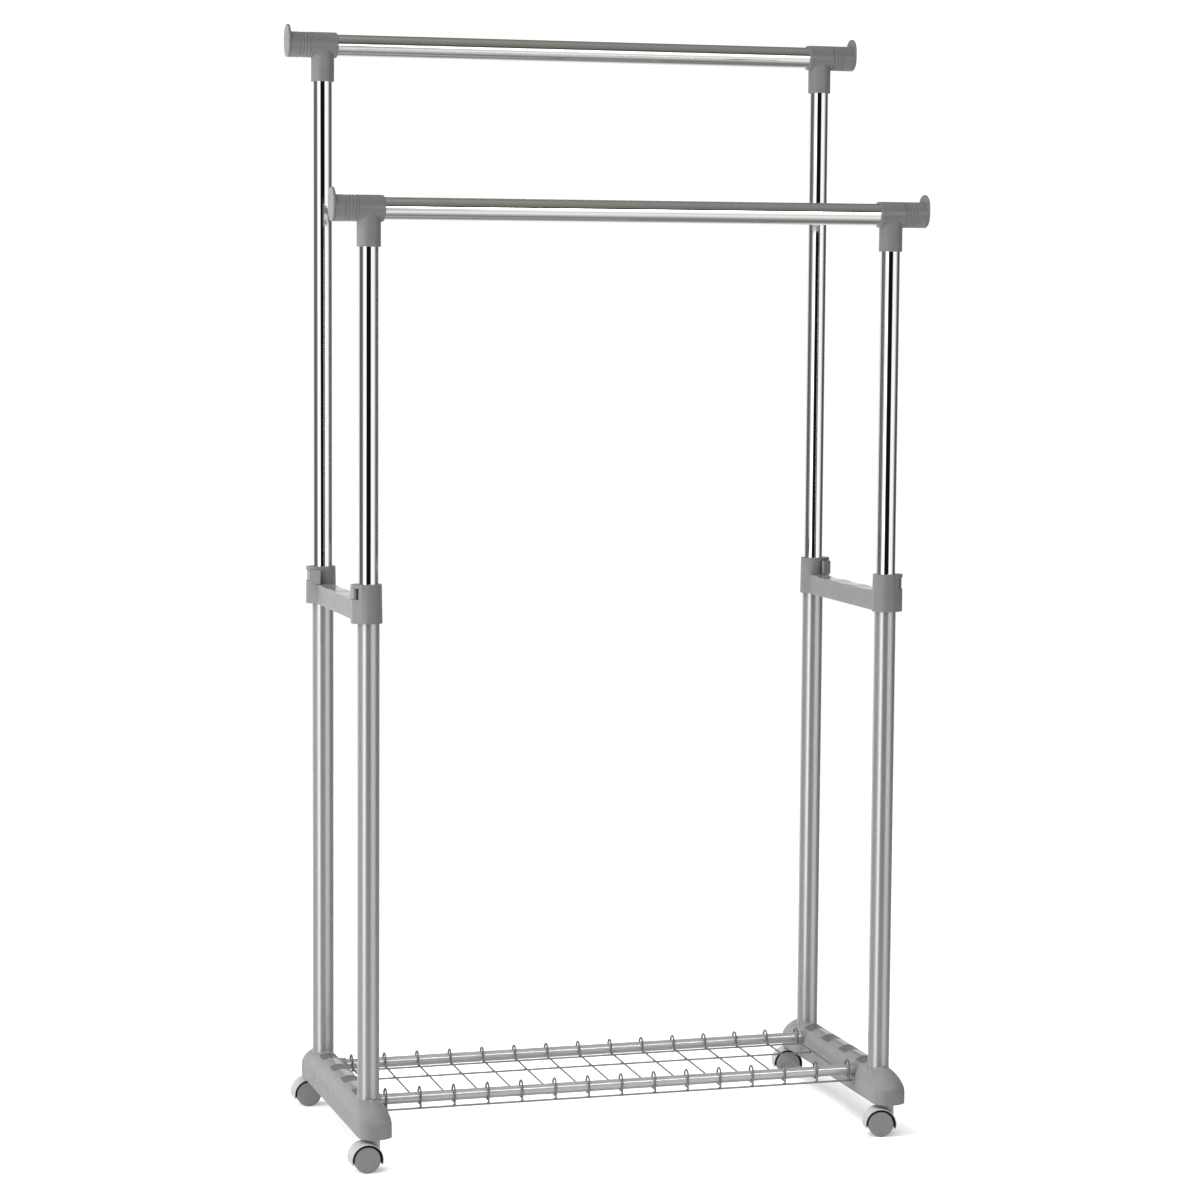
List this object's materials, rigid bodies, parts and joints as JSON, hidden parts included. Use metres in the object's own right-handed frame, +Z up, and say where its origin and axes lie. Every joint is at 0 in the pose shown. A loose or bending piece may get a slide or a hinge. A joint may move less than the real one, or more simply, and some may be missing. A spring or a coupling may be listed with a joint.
{
  "type": "rolling clothes rack",
  "caption": "Rolling clothes rack: telescoping chromed uprights carry a low front rail and a high rear rail over a wire shoe shelf, on moulded bases with hooded castors.",
  "frame": {"origin": "on the floor, midway between the four uprights", "axes": "+X along the hanging rails to the right, +Y from the low front rail to the high rear rail, +Z up"},
  "size_m": [0.7816, 0.3922, 1.435],
  "materials": {
    "grey_plastic": "moulded plastic, fine matt texture",
    "silver_paint": "silver satin paint on steel tube",
    "chrome": "bright chrome plate on steel tube",
    "wire_zinc": "grey lacquered steel wire",
    "hood_plastic": "moulded plastic, light grey",
    "wheel_plastic": "moulded plastic, dark grey",
    "steel": "bright drawn steel",
    "guide_plastic": "black moulded plastic"
  },
  "bodies": {
    "root": {"left_base": "grey_plastic", "left_bracket": "grey_plastic", "right_base": "grey_plastic", "right_bracket": "grey_plastic", "front_left_lower_tube": "silver_paint", "front_right_lower_tube": "silver_paint", "front_shelf_rail": "silver_paint", "rear_left_lower_tube": "silver_paint", "rear_right_lower_tube": "silver_paint", "rear_shelf_rail": "silver_paint", "wire_shelf": "wire_zinc", "lock_lever_pins": "steel"},
    "front_hanger": {"front_rail": "chrome", "front_mast_guides": "guide_plastic", "front_left_upper_tube": "chrome", "front_left_tee": "grey_plastic", "front_right_upper_tube": "chrome", "front_right_tee": "grey_plastic"},
    "front_left_rail_end": {"front_left_end_stop": "grey_plastic", "front_left_extension_tube": "chrome"},
    "front_right_rail_end": {"front_right_end_stop": "grey_plastic", "front_right_extension_tube": "chrome"},
    "front_left_lock": {"front_left_lock_lever": "grey_plastic"},
    "front_right_lock": {"front_right_lock_lever": "grey_plastic"},
    "front_left_castor": {"front_left_castor_hood": "hood_plastic", "front_left_castor_stem": "steel", "front_left_castor_axle": "steel"},
    "front_left_outer_roller": {"front_left_outer_wheel": "wheel_plastic"},
    "front_left_inner_roller": {"front_left_inner_wheel": "wheel_plastic"},
    "front_right_castor": {"front_right_castor_hood": "hood_plastic", "front_right_castor_stem": "steel", "front_right_castor_axle": "steel"},
    "front_right_outer_roller": {"front_right_outer_wheel": "wheel_plastic"},
    "front_right_inner_roller": {"front_right_inner_wheel": "wheel_plastic"},
    "rear_hanger": {"rear_rail": "chrome", "rear_mast_guides": "guide_plastic", "rear_left_upper_tube": "chrome", "rear_left_tee": "grey_plastic", "rear_right_upper_tube": "chrome", "rear_right_tee": "grey_plastic"},
    "rear_left_rail_end": {"rear_left_end_stop": "grey_plastic", "rear_left_extension_tube": "chrome"},
    "rear_right_rail_end": {"rear_right_end_stop": "grey_plastic", "rear_right_extension_tube": "chrome"},
    "rear_left_lock": {"rear_left_lock_lever": "grey_plastic"},
    "rear_right_lock": {"rear_right_lock_lever": "grey_plastic"},
    "rear_left_castor": {"rear_left_castor_hood": "hood_plastic", "rear_left_castor_stem": "steel", "rear_left_castor_axle": "steel"},
    "rear_left_outer_roller": {"rear_left_outer_wheel": "wheel_plastic"},
    "rear_left_inner_roller": {"rear_left_inner_wheel": "wheel_plastic"},
    "rear_right_castor": {"rear_right_castor_hood": "hood_plastic", "rear_right_castor_stem": "steel", "rear_right_castor_axle": "steel"},
    "rear_right_outer_roller": {"rear_right_outer_wheel": "wheel_plastic"},
    "rear_right_inner_roller": {"rear_right_inner_wheel": "wheel_plastic"}
  },
  "joints": [
    {"name": "front_rail_height", "type": "slide", "parent": "root", "child": "front_hanger", "axis": [0, 0, 1], "range_m": [-0.35, 0.215]},
    {"name": "front_left_pull_out", "type": "slide", "parent": "front_hanger", "child": "front_left_rail_end", "axis": [-1, 0, 0], "range_m": [0, 0.2]},
    {"name": "front_right_pull_out", "type": "slide", "parent": "front_hanger", "child": "front_right_rail_end", "axis": [1, 0, 0], "range_m": [0, 0.2]},
    {"name": "front_left_lock_swing", "type": "hinge", "parent": "root", "child": "front_left_lock", "pos_m": [-0.3608, -0.14, 0.7194], "axis": [0, 0, 1], "range_deg": [0, 35]},
    {"name": "front_right_lock_swing", "type": "hinge", "parent": "root", "child": "front_right_lock", "pos_m": [0.3608, -0.14, 0.7194], "axis": [0, 0, -1], "range_deg": [0, 35]},
    {"name": "front_left_castor_swivel", "type": "hinge", "parent": "root", "child": "front_left_castor", "pos_m": [-0.343, -0.178, 0.041], "axis": [0, 0, 1], "continuous": true},
    {"name": "front_left_outer_roll", "type": "hinge", "parent": "front_left_castor", "child": "front_left_outer_roller", "pos_m": [-0.356, -0.178, 0.0166], "axis": [0, 1, 0], "continuous": true},
    {"name": "front_left_inner_roll", "type": "hinge", "parent": "front_left_castor", "child": "front_left_inner_roller", "pos_m": [-0.356, -0.178, 0.0166], "axis": [0, 1, 0], "continuous": true},
    {"name": "front_right_castor_swivel", "type": "hinge", "parent": "root", "child": "front_right_castor", "pos_m": [0.343, -0.178, 0.041], "axis": [0, 0, 1], "continuous": true},
    {"name": "front_right_outer_roll", "type": "hinge", "parent": "front_right_castor", "child": "front_right_outer_roller", "pos_m": [0.33028, -0.1753, 0.0166], "axis": [0.2079, 0.9781, 0], "continuous": true},
    {"name": "front_right_inner_roll", "type": "hinge", "parent": "front_right_castor", "child": "front_right_inner_roller", "pos_m": [0.33028, -0.1753, 0.0166], "axis": [0.2079, 0.9781, 0], "continuous": true},
    {"name": "rear_rail_height", "type": "slide", "parent": "root", "child": "rear_hanger", "axis": [0, 0, 1], "range_m": [-0.565, 0]},
    {"name": "rear_left_pull_out", "type": "slide", "parent": "rear_hanger", "child": "rear_left_rail_end", "axis": [-1, 0, 0], "range_m": [0, 0.2]},
    {"name": "rear_right_pull_out", "type": "slide", "parent": "rear_hanger", "child": "rear_right_rail_end", "axis": [1, 0, 0], "range_m": [0, 0.2]},
    {"name": "rear_left_lock_swing", "type": "hinge", "parent": "root", "child": "rear_left_lock", "pos_m": [-0.3608, 0.14, 0.7194], "axis": [0, 0, -1], "range_deg": [0, 35]},
    {"name": "rear_right_lock_swing", "type": "hinge", "parent": "root", "child": "rear_right_lock", "pos_m": [0.3608, 0.14, 0.7194], "axis": [0, 0, 1], "range_deg": [0, 35]},
    {"name": "rear_left_castor_swivel", "type": "hinge", "parent": "root", "child": "rear_left_castor", "pos_m": [-0.343, 0.178, 0.041], "axis": [0, 0, 1], "continuous": true},
    {"name": "rear_left_outer_roll", "type": "hinge", "parent": "rear_left_castor", "child": "rear_left_outer_roller", "pos_m": [-0.356, 0.178, 0.0166], "axis": [0, 1, 0], "continuous": true},
    {"name": "rear_left_inner_roll", "type": "hinge", "parent": "rear_left_castor", "child": "rear_left_inner_roller", "pos_m": [-0.356, 0.178, 0.0166], "axis": [0, 1, 0], "continuous": true},
    {"name": "rear_right_castor_swivel", "type": "hinge", "parent": "root", "child": "rear_right_castor", "pos_m": [0.343, 0.178, 0.041], "axis": [0, 0, 1], "continuous": true},
    {"name": "rear_right_outer_roll", "type": "hinge", "parent": "rear_right_castor", "child": "rear_right_outer_roller", "pos_m": [0.33028, 0.1807, 0.0166], "axis": [0.2079, 0.9781, 0], "continuous": true},
    {"name": "rear_right_inner_roll", "type": "hinge", "parent": "rear_right_castor", "child": "rear_right_inner_roller", "pos_m": [0.33028, 0.1807, 0.0166], "axis": [0.2079, 0.9781, 0], "continuous": true}
  ]
}
